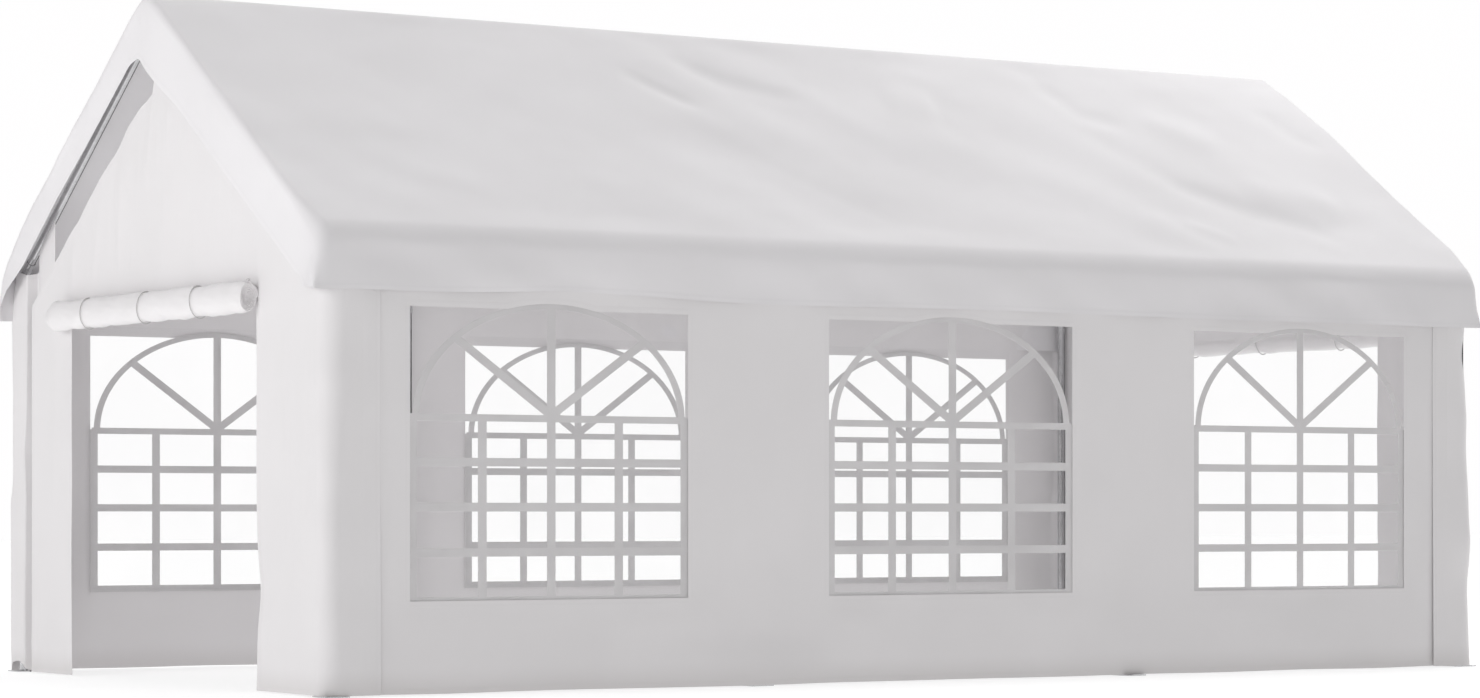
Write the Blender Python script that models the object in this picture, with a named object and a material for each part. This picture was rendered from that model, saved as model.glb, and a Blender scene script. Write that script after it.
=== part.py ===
"""Garage tent of 3 x 6 m: a steel tube frame of four arches under a white sheet cover.

Metres, +Z up. The origin is on the ground under the middle of the tent. X runs across the
width, Y along the ridge, and the front doorway faces -Y. The sheets are modelled 4 mm thick.
"""

import bpy
import bmesh
from math import cos, pi, radians, sin, tan
from mathutils import Matrix, Vector

# Frame of steel tube
BAY = 2.0
FRAME_Y = [-1.5 * BAY, -0.5 * BAY, 0.5 * BAY, 1.5 * BAY]
POST_X = 1.5
EAVE_Z = 1.795
ROOF_PITCH = radians(36)
TUBE_R = 0.019
TUBE_SIDES = 20
SLEEVE_R = 0.0215
HUB_R = 0.0222
HUB_END = 0.012
SLEEVE_LENGTH = 0.11
BORE_START = 0.030
BORE_R = TUBE_R + 0.0006
FOOT_SIDE = 0.11
FOOT_THICK = 0.005
PEG_HOLE_R = 0.005
PEG_HOLE_OUT = 0.040

# Sheets
GAP = 0.0003
SHEET = 0.004
CUT_PAST = 0.1
HEM_Z = 0.0055
COVER_X = 1.55
COVER_Y = 3.10
VALANCE_Z = 1.595
FLAP_DEPTH = 0.20
RIDGE_ROUND = 0.014
EAVE_ROUND = 0.040
FLAP_ROUND = 0.030
WALL_END = 0.015
WALL_TOP = 1.797
WRAP = 0.20
GABLE_DROP = 0.29
GABLE_SHOULDER = 1.62

# Door openings and the rolled-up door sheets
DOOR_HALF = 0.91
DOOR_TOP = 1.60
ROLL_LEFT = -0.95
ROLL_RIGHT = 0.93
ROLL_Z = 1.595
ROLL_HALF_DEPTH = 0.050
ROLL_HALF_HEIGHT = 0.068

# Window openings in the side walls
WINDOW_Y = [-BAY, 0.0, BAY]
WINDOW_HALF = 0.645
WINDOW_BOTTOM = 0.385
WINDOW_TOP = 1.540
ARCH_SPRING = 1.105
ARCH_RISE = 0.460
FILM = 0.003
FILM_LAP = 0.020

# Worked out from the sizes above
SLOPE = tan(ROOF_PITCH)
RIDGE_Z = EAVE_Z + POST_X * SLOPE
COVER_APEX = RIDGE_Z + (HUB_R + GAP + SHEET) / cos(ROOF_PITCH)
FRAME_END = FRAME_Y[-1]
WALL_OFF = HUB_R + GAP
WALL_IN = POST_X + WALL_OFF
GABLE_OFF = WALL_OFF + SHEET + GAP
GABLE_OUT = FRAME_END + GABLE_OFF + SHEET
SIDES = {"left": -1, "right": 1}
ENDS = {"front": -1, "rear": 1}


def clear_scene():
    for obj in list(bpy.data.objects):
        bpy.data.objects.remove(obj, do_unlink=True)


def finish(name, colour, roughness, metallic=0.0, alpha=1.0):
    material = bpy.data.materials.new(name)
    material.use_nodes = True
    shader = material.node_tree.nodes["Principled BSDF"]
    shader.inputs["Base Color"].default_value = (*colour, 1.0)
    shader.inputs["Roughness"].default_value = roughness
    shader.inputs["Metallic"].default_value = metallic
    shader.inputs["Alpha"].default_value = alpha
    material.diffuse_color = (*colour, 1.0)
    return material


def make_object(name, mesh_builder, material):
    mesh = bpy.data.meshes.new(name)
    mesh_builder.normal_update()
    mesh_builder.to_mesh(mesh)
    mesh_builder.free()
    mesh.materials.append(material)
    obj = bpy.data.objects.new(name, mesh)
    bpy.context.scene.collection.objects.link(obj)
    return obj


def make_helper(name, mesh_builder):
    helper = make_object(name, mesh_builder, HELPER)
    helper.hide_render = True
    helper.display_type = "WIRE"
    return helper


def add_boolean(obj, helper, operation="DIFFERENCE"):
    modifier = obj.modifiers.new(operation.title(), "BOOLEAN")
    modifier.operation = operation
    modifier.solver = "EXACT"
    modifier.object = helper


def add_rod(builder, start, end, radius, sides=TUBE_SIDES):
    """A capped cylinder from start to end; rods on one line with equal sides have their flats in step."""
    along = Vector(end) - Vector(start)
    place = Matrix.Translation((Vector(start) + Vector(end)) / 2)
    turn = along.to_track_quat("Z", "X").to_matrix().to_4x4()
    bmesh.ops.create_cone(builder, cap_ends=True, segments=sides, radius1=radius, radius2=radius,
                          depth=along.length, matrix=place @ turn)


def add_box(builder, low, high):
    size = Vector(high) - Vector(low)
    middle = (Vector(high) + Vector(low)) / 2
    place = Matrix.Translation(middle) @ Matrix.Diagonal((*size, 1.0))
    bmesh.ops.create_cube(builder, size=1.0, matrix=place)


def prism(outline, to_point, low, high):
    """A closed prism: outline is a list of (u, v), and to_point turns (u, v, depth) into X, Y, Z."""
    builder = bmesh.new()
    near = [builder.verts.new(to_point(u, v, low)) for u, v in outline]
    far = [builder.verts.new(to_point(u, v, high)) for u, v in outline]
    builder.faces.new(near)
    builder.faces.new(far[::-1])
    for i in range(len(outline)):
        j = (i + 1) % len(outline)
        builder.faces.new([near[j], near[i], far[i], far[j]])
    bmesh.ops.recalc_face_normals(builder, faces=builder.faces)
    return builder


def along_y(u, v, depth):
    return (u, depth, v)


def along_x(u, v, depth):
    return (depth, u, v)


def along_z(u, v, depth):
    return (u, v, depth)


def smooth_round(obj):
    obj.data.shade_smooth()
    obj.data.set_sharp_from_angle(angle=radians(35))


def frame_point(side, y, height=EAVE_Z):
    return Vector((side * POST_X, y, height))


def roof_direction(side):
    """From the ridge down to the eave on one side."""
    return Vector((side * cos(ROOF_PITCH), 0.0, -sin(ROOF_PITCH)))


def build_post(name, side, y):
    builder = bmesh.new()
    top = EAVE_Z - BORE_START - GAP
    add_rod(builder, frame_point(side, y, FOOT_THICK / 2), frame_point(side, y, top), TUBE_R)
    post = make_object(name, builder, STEEL)
    half = FOOT_SIDE / 2
    plate = bmesh.new()
    x = side * POST_X
    add_box(plate, (x - half, y - half, 0.0), (x + half, y + half, FOOT_THICK))
    add_boolean(post, make_helper(name + "_plate", plate), "UNION")
    holes = bmesh.new()
    for hole_side in (-1, 1):
        place = Vector((x + hole_side * PEG_HOLE_OUT, y + hole_side * PEG_HOLE_OUT, 0.0))
        reach = Vector((0.0, 0.0, 2 * FOOT_THICK))
        add_rod(holes, place - reach, place + reach, PEG_HOLE_R, 12)
    add_boolean(post, make_helper(name + "_peg_holes", holes))
    smooth_round(post)


def build_connector(name, centre, arms):
    """A short cross tube along Y with sleeves welded to it, each end bored for the tube that goes in."""
    lengthways = [arm for arm in arms if abs(arm.y) > 0.5]
    sideways = [arm for arm in arms if abs(arm.y) < 0.5]
    low = min([-HUB_END] + [arm.y * SLEEVE_LENGTH for arm in lengthways])
    high = max([HUB_END] + [arm.y * SLEEVE_LENGTH for arm in lengthways])
    hub = bmesh.new()
    add_rod(hub, centre + Vector((0.0, low, 0.0)), centre + Vector((0.0, high, 0.0)), HUB_R)
    connector = make_object(name, hub, STEEL)
    for number, arm in enumerate(sideways, start=1):
        sleeve = bmesh.new()
        add_rod(sleeve, centre, centre + arm * SLEEVE_LENGTH, SLEEVE_R)
        add_boolean(connector, make_helper(f"{name}_sleeve_{number}", sleeve), "UNION")
    bores = bmesh.new()
    for arm in arms:
        add_rod(bores, centre + arm * BORE_START, centre + arm * (SLEEVE_LENGTH + 0.01), BORE_R)
    add_boolean(connector, make_helper(name + "_bores", bores))
    smooth_round(connector)


def arms_along_y(y):
    arms = []
    if y > FRAME_Y[0]:
        arms.append(Vector((0.0, -1.0, 0.0)))
    if y < FRAME_Y[-1]:
        arms.append(Vector((0.0, 1.0, 0.0)))
    return arms


def ridge_point(y):
    return Vector((0.0, y, RIDGE_Z))


def build_arches():
    inset = BORE_START + GAP
    for number, y in enumerate(FRAME_Y, start=1):
        arms = [roof_direction(-1), roof_direction(1)]
        build_connector(f"ridge_connector_{number}", ridge_point(y), arms + arms_along_y(y))
        for word, side in SIDES.items():
            down = roof_direction(side)
            build_post(f"post_{word}_{number}", side, y)
            arms = [Vector((0.0, 0.0, -1.0)), -down]
            build_connector(f"eave_connector_{word}_{number}", frame_point(side, y), arms + arms_along_y(y))
            rafter = bmesh.new()
            add_rod(rafter, ridge_point(y) + down * inset, frame_point(side, y) - down * inset, TUBE_R)
            smooth_round(make_object(f"rafter_{word}_{number}", rafter, STEEL))


def build_purlins():
    inset = Vector((0.0, BORE_START + GAP, 0.0))
    for number in range(1, len(FRAME_Y)):
        start, end = FRAME_Y[number - 1], FRAME_Y[number]
        lines = {"ridge": (ridge_point(start), ridge_point(end))}
        for word, side in SIDES.items():
            lines[f"{word}_eave"] = (frame_point(side, start), frame_point(side, end))
        for word, (first, last) in lines.items():
            purlin = bmesh.new()
            add_rod(purlin, first + inset, last - inset, TUBE_R)
            smooth_round(make_object(f"{word}_purlin_{number}", purlin, STEEL))


def roof_outline(inward, floor):
    """The cover's section from floor up, moved inward by a distance square to each face."""
    half = COVER_X - inward
    apex = COVER_APEX - inward / cos(ROOF_PITCH)
    eave = apex - half * SLOPE
    return [(-half, floor), (half, floor), (half, eave), (0.0, apex), (-half, eave)]


def rounded_roof(inward, floor, ridge_round, eave_round, flap_round):
    """The roof prism with its ridge, eaves and gable edges rounded off."""
    end = COVER_Y - inward
    builder = prism(roof_outline(inward, floor), along_y, -end, end)

    def bevel(test, radius, segments):
        edges = [e for e in builder.edges if test(e)]
        bmesh.ops.bevel(builder, geom=edges, offset=radius, offset_type="OFFSET", affect="EDGES",
                        segments=segments, profile=0.5, clamp_overlap=True)

    def runs_along_ridge(edge):
        return abs(edge.verts[0].co.y - edge.verts[1].co.y) > COVER_Y

    def at_eave(edge):
        return runs_along_ridge(edge) and min(v.co.z for v in edge.verts) > floor + 0.01 \
            and abs(edge.verts[0].co.x) > 0.1

    def at_ridge(edge):
        return runs_along_ridge(edge) and abs(edge.verts[0].co.x) < 0.001

    def at_gable(edge):
        return all(abs(abs(v.co.y) - end) < 0.001 for v in edge.verts) \
            and max(v.co.z for v in edge.verts) > floor + 0.01

    bevel(at_eave, eave_round, 4)
    bevel(at_ridge, ridge_round, 3)
    bevel(at_gable, flap_round, 3)
    return builder


def build_roof_cover():
    """One sheet: two slopes, a valance down each side and a flap down each gable edge."""
    outer = rounded_roof(0.0, VALANCE_Z, RIDGE_ROUND, EAVE_ROUND, FLAP_ROUND)
    cover = make_object("roof_cover", outer, SHEETING)
    below = VALANCE_Z - CUT_PAST
    inner = rounded_roof(SHEET, below, RIDGE_ROUND - SHEET, EAVE_ROUND - SHEET, FLAP_ROUND - SHEET)
    add_boolean(cover, make_helper("cover_inside", inner))
    flap_apex = COVER_APEX - FLAP_DEPTH / cos(ROOF_PITCH)
    half = (flap_apex - below) / SLOPE
    gable = prism([(-half, below), (half, below), (0.0, flap_apex)], along_y, -2 * COVER_Y, 2 * COVER_Y)
    add_boolean(cover, make_helper("cover_gable_opening", gable))
    smooth_round(cover)


def window_outline(centre):
    """A rectangle whose top edge is lifted by the crown of an elliptical arch."""
    crown = (WINDOW_TOP - ARCH_SPRING) / ARCH_RISE
    reach = WINDOW_HALF * (1 - crown ** 2) ** 0.5
    points = [(-WINDOW_HALF, WINDOW_BOTTOM), (WINDOW_HALF, WINDOW_BOTTOM), (WINDOW_HALF, WINDOW_TOP)]
    steps = 6
    for i in range(steps + 1):
        u = reach * (1 - 2 * i / steps)
        points.append((u, ARCH_SPRING + ARCH_RISE * (1 - (u / WINDOW_HALF) ** 2) ** 0.5))
    points.append((-WINDOW_HALF, WINDOW_TOP))
    return [(centre + u, v) for u, v in points]


def build_side_wall(word, side):
    """A flat sheet outside the posts with three arched windows, and a clear film behind each."""
    name = f"{word}_side_wall"
    sheet = bmesh.new()
    near, far = sorted([side * WALL_IN, side * (WALL_IN + SHEET)])
    end = FRAME_END - WALL_END
    add_box(sheet, (near, -end, HEM_Z), (far, end, WALL_TOP))
    wall = make_object(name, sheet, SHEETING)
    for number, centre in enumerate(WINDOW_Y, start=1):
        low, high = sorted([side * (WALL_IN - CUT_PAST), side * (WALL_IN + CUT_PAST)])
        hole = prism(window_outline(centre), along_x, low, high)
        add_boolean(wall, make_helper(f"{name}_hole_{number}", hole))
        film = bmesh.new()
        near, far = sorted([side * (WALL_IN - GAP - FILM), side * (WALL_IN - GAP)])
        reach = WINDOW_HALF + FILM_LAP
        top = ARCH_SPRING + ARCH_RISE + FILM_LAP
        add_box(film, (near, centre - reach, WINDOW_BOTTOM - FILM_LAP), (far, centre + reach, top))
        make_object(f"{word}_window_film_{number}", film, CLEAR_FILM)


def gable_line(offset):
    """One face of the gable sheet, seen from above: across the end, round both posts, back along the sides."""
    steps = 6
    quarter = [pi / 2 * i / steps for i in range(steps + 1)]
    corner = [(POST_X + offset * cos(a), FRAME_END + offset * sin(a)) for a in quarter]
    right = [(POST_X + offset, FRAME_END - WRAP)] + corner
    left = [(-x, y) for x, y in reversed(right)]
    return right + left


def build_gable_wall(word, end):
    """A sheet wrapped round the corner posts, with a peaked top edge and the doorway cut out of it."""
    plan = gable_line(GABLE_OFF + SHEET) + gable_line(GABLE_OFF)[::-1]
    plan = [(x, end * y) for x, y in plan]
    name = f"{word}_gable_wall"
    apex = COVER_APEX - GABLE_DROP
    shoulder = (apex - GABLE_SHOULDER) / SLOPE
    wide, tall = POST_X + 2 * CUT_PAST, apex + 2 * CUT_PAST
    wall = make_object(name, prism(plan, along_z, HEM_Z, apex + CUT_PAST), SHEETING)
    above = [(-wide, tall), (-wide, GABLE_SHOULDER), (-shoulder, GABLE_SHOULDER), (0.0, apex),
             (shoulder, GABLE_SHOULDER), (wide, GABLE_SHOULDER), (wide, tall)]
    low, high = sorted([end * (FRAME_END - WRAP - CUT_PAST), end * (GABLE_OUT + CUT_PAST)])
    add_boolean(wall, make_helper(name + "_above", prism(above, along_y, low, high)))
    door = bmesh.new()
    low, high = sorted([end * (FRAME_END - CUT_PAST), end * (GABLE_OUT + CUT_PAST)])
    add_box(door, (-DOOR_HALF, low, -CUT_PAST), (DOOR_HALF, high, DOOR_TOP))
    add_boolean(wall, make_helper(name + "_doorway", door))
    smooth_round(wall)


def build_door_roll(word, end):
    """The door sheet rolled up and tied over the doorway, a little flattened against the gable."""
    builder = bmesh.new()
    middle = (ROLL_LEFT + ROLL_RIGHT) / 2
    place = Matrix.Translation((-end * middle, end * (GABLE_OUT + GAP + ROLL_HALF_DEPTH), ROLL_Z))
    flatten = Matrix.Diagonal((1.0, ROLL_HALF_DEPTH, ROLL_HALF_HEIGHT, 1.0))
    turn = Matrix.Rotation(pi / 2, 4, "Y")
    bmesh.ops.create_cone(builder, cap_ends=True, segments=24, radius1=1.0, radius2=1.0,
                          depth=ROLL_RIGHT - ROLL_LEFT, matrix=place @ flatten @ turn)
    smooth_round(make_object(f"{word}_door_roll", builder, SHEETING))


clear_scene()
STEEL = finish("galvanised steel", (0.55, 0.56, 0.57), 0.35, metallic=1.0)
SHEETING = finish("white sheeting", (0.84, 0.84, 0.85), 0.5)
CLEAR_FILM = finish("clear film", (0.9, 0.92, 0.93), 0.08, alpha=0.3)
HELPER = finish("helper", (0.2, 0.4, 0.9), 0.5)

build_arches()
build_purlins()
build_roof_cover()
for side_word, side_sign in SIDES.items():
    build_side_wall(side_word, side_sign)
for end_word, end_sign in ENDS.items():
    build_gable_wall(end_word, end_sign)
    build_door_roll(end_word, end_sign)
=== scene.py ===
import math

import bpy
import numpy as np
from mathutils import Matrix, Vector


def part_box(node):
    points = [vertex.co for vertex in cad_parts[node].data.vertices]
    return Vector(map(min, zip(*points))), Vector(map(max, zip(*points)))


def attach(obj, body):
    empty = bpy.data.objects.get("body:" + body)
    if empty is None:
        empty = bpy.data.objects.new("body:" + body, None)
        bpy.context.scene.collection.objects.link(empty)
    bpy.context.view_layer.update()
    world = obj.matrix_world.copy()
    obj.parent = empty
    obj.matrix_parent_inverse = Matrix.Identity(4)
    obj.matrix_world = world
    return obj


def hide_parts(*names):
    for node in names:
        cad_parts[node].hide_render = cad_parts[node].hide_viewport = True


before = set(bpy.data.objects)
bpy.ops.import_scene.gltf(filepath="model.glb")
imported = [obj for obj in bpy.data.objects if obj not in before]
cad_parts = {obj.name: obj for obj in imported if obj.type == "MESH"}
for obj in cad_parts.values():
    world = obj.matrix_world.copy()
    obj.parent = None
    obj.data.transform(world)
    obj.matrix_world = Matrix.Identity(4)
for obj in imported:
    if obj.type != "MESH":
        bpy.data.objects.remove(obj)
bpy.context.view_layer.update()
bpy.ops.object.select_all(action="DESELECT")

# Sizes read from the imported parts, in metres
COVER_LOW, COVER_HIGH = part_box("roof_cover")
WALL_LOW, WALL_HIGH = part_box("right_side_wall")
GABLE_LOW, GABLE_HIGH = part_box("front_gable_wall")
COVER_X = COVER_HIGH.x
COVER_Y = COVER_HIGH.y
VALANCE_Z = COVER_LOW.z
WALL_X = WALL_HIGH.x
WALL_Y = WALL_HIGH.y
WALL_TOP = WALL_HIGH.z + 0.028  # tucked up under the valance
HEM_Z = WALL_LOW.z
GABLE_Y = -GABLE_LOW.y
GABLE_X = GABLE_HIGH.x
WRAP_Y = -GABLE_HIGH.y
FILM_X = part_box("right_window_film_2")[1].x

# Driving sizes of the sheets
FLAP = 0.20
THIN = 0.0012
HEMMED = 0.0018
HEM_WIDTH = 0.024
ROOF_GRID = 0.028
WALL_GRID = 0.024
GABLE_GRID = 0.022
RIDGE_Z = COVER_HIGH.z + 0.0137  # where the two slopes would meet without their round
SHEET_SLOPE = 0.701
EAVE_ROUND = 0.130
RIDGE_ROUND = 0.070
GABLE_FOLD = 0.026
GABLE_BEND = 0.95
CORNER_FOLD = 0.082
SHOULDER_Z = 1.62
FRONT_DOOR = (-0.891, 0.924)
REAR_DOOR = (-0.910, 0.910)
DOOR_TOP = 1.60
PANEL_EDGE = -1.328
STRIP_X = 1.423
POST_X = 1.5
FRAME_PLACE = 1.0
RAFTER_TOP = 2.885
RAFTER_SLOPE = math.tan(math.radians(36))
# How far past each frame's middle, along the tent, the painted shade line lies on the tubes
SHADE_LINE_OFF = 0.0092
RIGHT_WINDOWS = ((-2.665, -1.355), (-0.646, 0.659), (1.352, 2.621))
LEFT_WINDOWS = ((-2.655, -1.365), (-0.664, 0.616), (1.362, 2.652))
WINDOW_HALF = 0.645
WINDOW_BOTTOM = 0.372
WINDOW_TOP = 1.540
ARCH_SPRING = 1.105
ARCH_RISE = 0.460
ARCH_STEPS = 64
PANE = 0.3165
BAR_THICK = 0.0014
ROLL_MIDDLE_Z = 1.590
ROLL_HALF_HIGH = 0.073
ROLL_HALF_DEEP = 0.0485
ROLL_LEFT = -1.005
ROLL_RIGHT = 0.952
TIE_PLACES = (-0.600, -0.020, 0.490)

# Lines read off the photograph, in metres: along a sheet's edge, and how high it stands there
FLAP_EDGE = (
    (-1.54, 1.597), (-1.535, 1.665), (-1.475, 1.733), (-1.294, 1.859), (-0.963, 2.106), (-0.606, 2.342),
    (-0.384, 2.496), (-0.19, 2.634), (-0.101, 2.655), (0.03, 2.545), (0.3, 2.345), (1.36, 1.612),
    (1.535, 1.598),
)
FLAP_EDGE_ROUND = (0.02, 0.04, 0.3, 0.3, 0.3, 0.3, 0.1, 0.015, 0.3, 0.5, 0.05)
GABLE_EDGE = (
    (-1.36, 1.645), (-1.314, 1.666), (-1.236, 1.726), (-1.059, 1.851), (-0.957, 1.923), (-0.795, 2.027),
    (-0.71, 2.095), (-0.614, 2.165), (-0.436, 2.273), (-0.362, 2.33), (-0.304, 2.374), (-0.175, 2.454),
    (-0.055, 2.498), (-0.038, 2.56), (0.0, 2.63), (0.05, 2.64), (1.4, 1.662), (1.46, 1.62),
)
# How far the rear edge's slope and the front left slope stand proud, from the ridge down
REAR_RISE = (
    (0.0, -0.001), (0.1, 0.008), (0.25, 0.019), (0.5, 0.019), (0.65, 0.017), (0.8, 0.0175),
    (0.92, 0.0165), (1.05, 0.0135), (1.2, 0.008), (1.4, 0.005), (1.9, 0.002),
)
FRONT_RISE = (
    (0.0, -0.001), (0.1, 0.004), (0.22, 0.015), (0.4, 0.0135), (0.6, 0.009), (0.8, 0.012),
    (0.9, 0.006), (1.0, -0.001), (1.2, 0.003), (1.4, 0.016), (1.6, 0.012), (1.75, -0.004),
    (1.9, -0.008),
)
# How far the rear corner's edge strays outwards at each height
REAR_CORNER = (
    (0.02, 0.01), (0.24, 0.003), (0.39, -0.008), (0.59, 0.011), (0.93, -0.008), (1.18, 0.006),
    (1.46, -0.02), (1.63, -0.006),
)
# Folds in the roof: the places they run through (down the slope, along the ridge), height and both widths
ROOF_FOLDS = (
    (((0.39, -0.95), (0.72, -0.66)), -0.01, 0.045, 0.065),
    (((0.22, -0.63), (0.42, -0.4), (0.52, -0.16), (0.52, 0.02)), -0.011, 0.065, 0.085),
    (((0.76, -0.9), (1.08, -0.67), (1.37, -0.43), (1.62, -0.18), (1.68, 0.02)), -0.019, 0.13, 0.35),
    (((0.18, 1.48), (0.53, 1.58), (0.59, 1.86)), -0.012, 0.08, 0.1),
    (((0.92, 1.68), (1.17, 1.76), (1.36, 2.07), (1.53, 2.38), (1.37, 2.83)), -0.013, 0.08, 0.095),
    (((0.35, 2.77), (0.65, 2.83), (0.81, 2.95)), -0.009, 0.07, 0.09),
    (((0.5, 0.42), (0.62, 0.7)), 0.014, 0.17, 0.15),
    (((0.48, 1.92), (0.82, 2.26)), 0.013, 0.13, 0.12),
    (((1.16, 2.1), (1.3, 2.68)), 0.017, 0.12, 0.12),
    (((1.5, 1.52), (1.68, 1.78)), 0.006, 0.06, 0.06),
    (((1.22, -2.74), (1.56, -2.04)), 0.004, 0.09, 0.09),
)
# Creases in the side walls: start and end (along the wall, height), height and width
WALL_CREASES = (
    ((-1.17, 0.3), (-1.1, 1.2), 0.0035, 0.05), ((-0.92, 0.5), (-0.86, 1.45), 0.004, 0.07),
    ((0.78, 0.62), (0.86, 1.5), 0.0035, 0.06), ((1.1, 0.3), (1.04, 1.1), 0.004, 0.07),
    ((-0.6, 0.34), (-0.25, 0.1), 0.0035, 0.05), ((0.66, 0.36), (1.0, 0.16), 0.0035, 0.05),
    ((-1.35, 0.37), (-1.05, 0.14), 0.0035, 0.05), ((1.35, 0.3), (2.2, 0.12), 0.003, 0.07),
    ((-2.74, 0.3), (-2.7, 1.35), 0.003, 0.05),
)
# Creases in a gable wall: start and end (across, height), height and both widths
GABLE_CREASES = (
    ((-0.05, 2.54), (-0.13, 2.08), 0.006, 0.016, 0.03), ((0.1, 2.5), (0.087, 2.19), 0.0055, 0.014, 0.028),
    ((0.25, 2.38), (0.25, 2.22), 0.0035, 0.014, 0.03), ((-0.36, 2.3), (-0.4, 1.75), 0.005, 0.022, 0.045),
    ((-0.6, 2.12), (-0.66, 1.7), 0.0045, 0.02, 0.04), ((-0.86, 1.94), (-0.88, 1.66), 0.004, 0.02, 0.04),
    ((0.45, 2.2), (0.6, 1.75), 0.003, 0.03, 0.06), ((0.9, 1.9), (1.02, 0.9), 0.004, 0.035, 0.06),
    ((1.16, 1.6), (1.2, 0.2), 0.0045, 0.035, 0.07), ((-1.26, 0.42), (-1.3, 0.05), 0.007, 0.016, 0.035),
    ((-1.05, 1.5), (-1.1, 0.6), 0.003, 0.03, 0.06), ((1.36, 1.5), (1.3, 0.3), 0.004, 0.04, 0.06),
)


# Number helpers

def smooth(value):
    """0 to 1 with soft ends."""
    value = np.clip(value, 0.0, 1.0)
    return value * value * (3.0 - 2.0 * value)


def spread(start, end, step, marks=()):
    """Places from start to end, at most a step apart, that take in every mark."""
    stops = sorted({round(stop, 6) for stop in (start, *(m for m in marks if start < m < end), end)})
    places = [stops[0]]
    for low, high in zip(stops, stops[1:]):
        count = max(1, math.ceil((high - low) / step - 1e-6))
        places += [low + (high - low) * k / count for k in range(1, count + 1)]
    return np.array(places)


def rounded_line(corners, radii, arc_steps=6):
    """Straight runs joined by round corners, as points, and how far along each point lies."""
    corners = [np.array(corner, float) for corner in corners]
    line = [corners[0]]
    for before, corner, after, radius in zip(corners, corners[1:], corners[2:], radii):
        into = (corner - before) / np.linalg.norm(corner - before)
        out = (after - corner) / np.linalg.norm(after - corner)
        side = into[0] * out[1] - into[1] * out[0]
        turn = math.atan2(side, float(into @ out))
        start = corner - into * radius * math.tan(abs(turn) / 2)
        centre = start + np.array([-into[1], into[0]]) * math.copysign(radius, turn)
        arm = start - centre
        across = np.array([-arm[1], arm[0]])
        for k in range(arc_steps + 1):
            angle = turn * k / arc_steps
            line.append(centre + (arm * math.cos(angle) + across * math.sin(angle)))
    line.append(corners[-1])
    line = np.array(line)
    along = np.concatenate([[0.0], np.cumsum(np.linalg.norm(np.diff(line, axis=0), axis=1))])
    return line, along


def at(places, along, line):
    """The points of the line at these distances along it."""
    return np.stack([np.interp(places, along, line[:, k]) for k in range(line.shape[1])], -1)


def ripple(u, v, seed, length, stretch=1.0, waves=11):
    """Soft undulation from about -1 to 1, in seeded directions. stretch lengthens it along v."""
    random = np.random.default_rng(seed)
    total = np.zeros_like(u)
    bend = 0.25 * length * np.sin(v / stretch * 2.1 / length + random.uniform(0, 6))
    for _ in range(waves):
        turn = random.uniform(0, math.tau)
        stride = length * random.uniform(0.55, 1.7)
        swing = (u + bend) * math.cos(turn) + v / stretch * math.sin(turn)
        total += np.sin(swing * math.tau / stride + random.uniform(0, math.tau))
    return total / (1.6 * math.sqrt(waves))


def crease(u, v, start, end, height, width, far_width=None):
    """A fold laid on the flat sheet from start to end. far_width is its width beyond the line."""
    far_width = width if far_width is None else far_width
    du, dv = end[0] - start[0], end[1] - start[1]
    long = math.hypot(du, dv)
    t = ((u - start[0]) * du + (v - start[1]) * dv) / long ** 2
    side = ((v - start[1]) * du - (u - start[0]) * dv) / long
    wide = np.where(side > 0, width, far_width)
    fade = smooth(t * 3.0 + 0.15) * smooth((1 - t) * 3.0 + 0.15)
    return height * np.exp(-(side / wide) ** 2) * fade


def nearest_line(u, v, lines, chained=False):
    """How far each point is from the nearest line, its side, how far along, and the chain's length."""
    best, side, along = np.full(u.shape, 9.0), np.zeros(u.shape), np.zeros(u.shape)
    gone = 0.0
    for (u0, v0), (u1, v1) in lines:
        long = math.dist((u0, v0), (u1, v1))
        du, dv = (u1 - u0) / long, (v1 - v0) / long
        t = np.clip((u - u0) * du + (v - v0) * dv, 0, long)
        off = np.hypot(u - u0 - t * du, v - v0 - t * dv)
        closer = off < best
        best = np.where(closer, off, best)
        side = np.where(closer, (v - v0) * du - (u - u0) * dv, side)
        along = np.where(closer, gone + t, along)
        gone += long * chained
    return best, side, along, gone


def fold_line(u, v, places, height, width, far_width):
    """A long fold that bends from place to place, with its own width on each side."""
    best, side, along, total = nearest_line(u, v, zip(places, places[1:]), chained=True)
    wide = np.where(side > 0, width, far_width)
    fade = smooth(along / total * 3.5 + 0.1) * smooth((total - along) / total * 3.5 + 0.1)
    return height * np.exp(-(best / wide) ** 2) * fade


def softened(places, fine, stops, values, span):
    """Reads values at these places after a running mean over a fine row of places."""
    kernel = np.hanning(span)
    padded = np.pad(np.interp(fine, stops, values), span // 2, mode="edge")
    return np.interp(places, fine, np.convolve(padded, kernel / kernel.sum(), mode="valid"))


def along_line(places, line, blur=0.0):
    """Reads a line of (place, value) pairs, its corners softened over the blur's length."""
    stops, values = [pair[0] for pair in line], [pair[1] for pair in line]
    if not blur:
        return np.interp(places, stops, values)
    return softened(places, np.arange(stops[0] - blur, stops[-1] + blur, blur / 12), stops, values, 15)


def grid_normals(points):
    """The unit normal at each point of a grid."""
    normal = np.cross(np.gradient(points, axis=1), np.gradient(points, axis=0))
    return normal / np.maximum(np.linalg.norm(normal, axis=-1, keepdims=True), 1e-9)


# Shader helpers

def put(tree, node, inputs):
    """Puts a value or a link in each input that is named."""
    for key, value in inputs.items():
        if isinstance(value, bpy.types.NodeSocket):
            tree.links.new(value, node.inputs[key])
        else:
            node.inputs[key].default_value = value


def add_node(tree, kind, inputs=None, **settings):
    """Adds a node with its settings and inputs, and gives its outputs."""
    made = tree.nodes.new(kind)
    for key, value in settings.items():
        setattr(made, key, value)
    put(tree, made, inputs or {})
    return made.outputs


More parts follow.
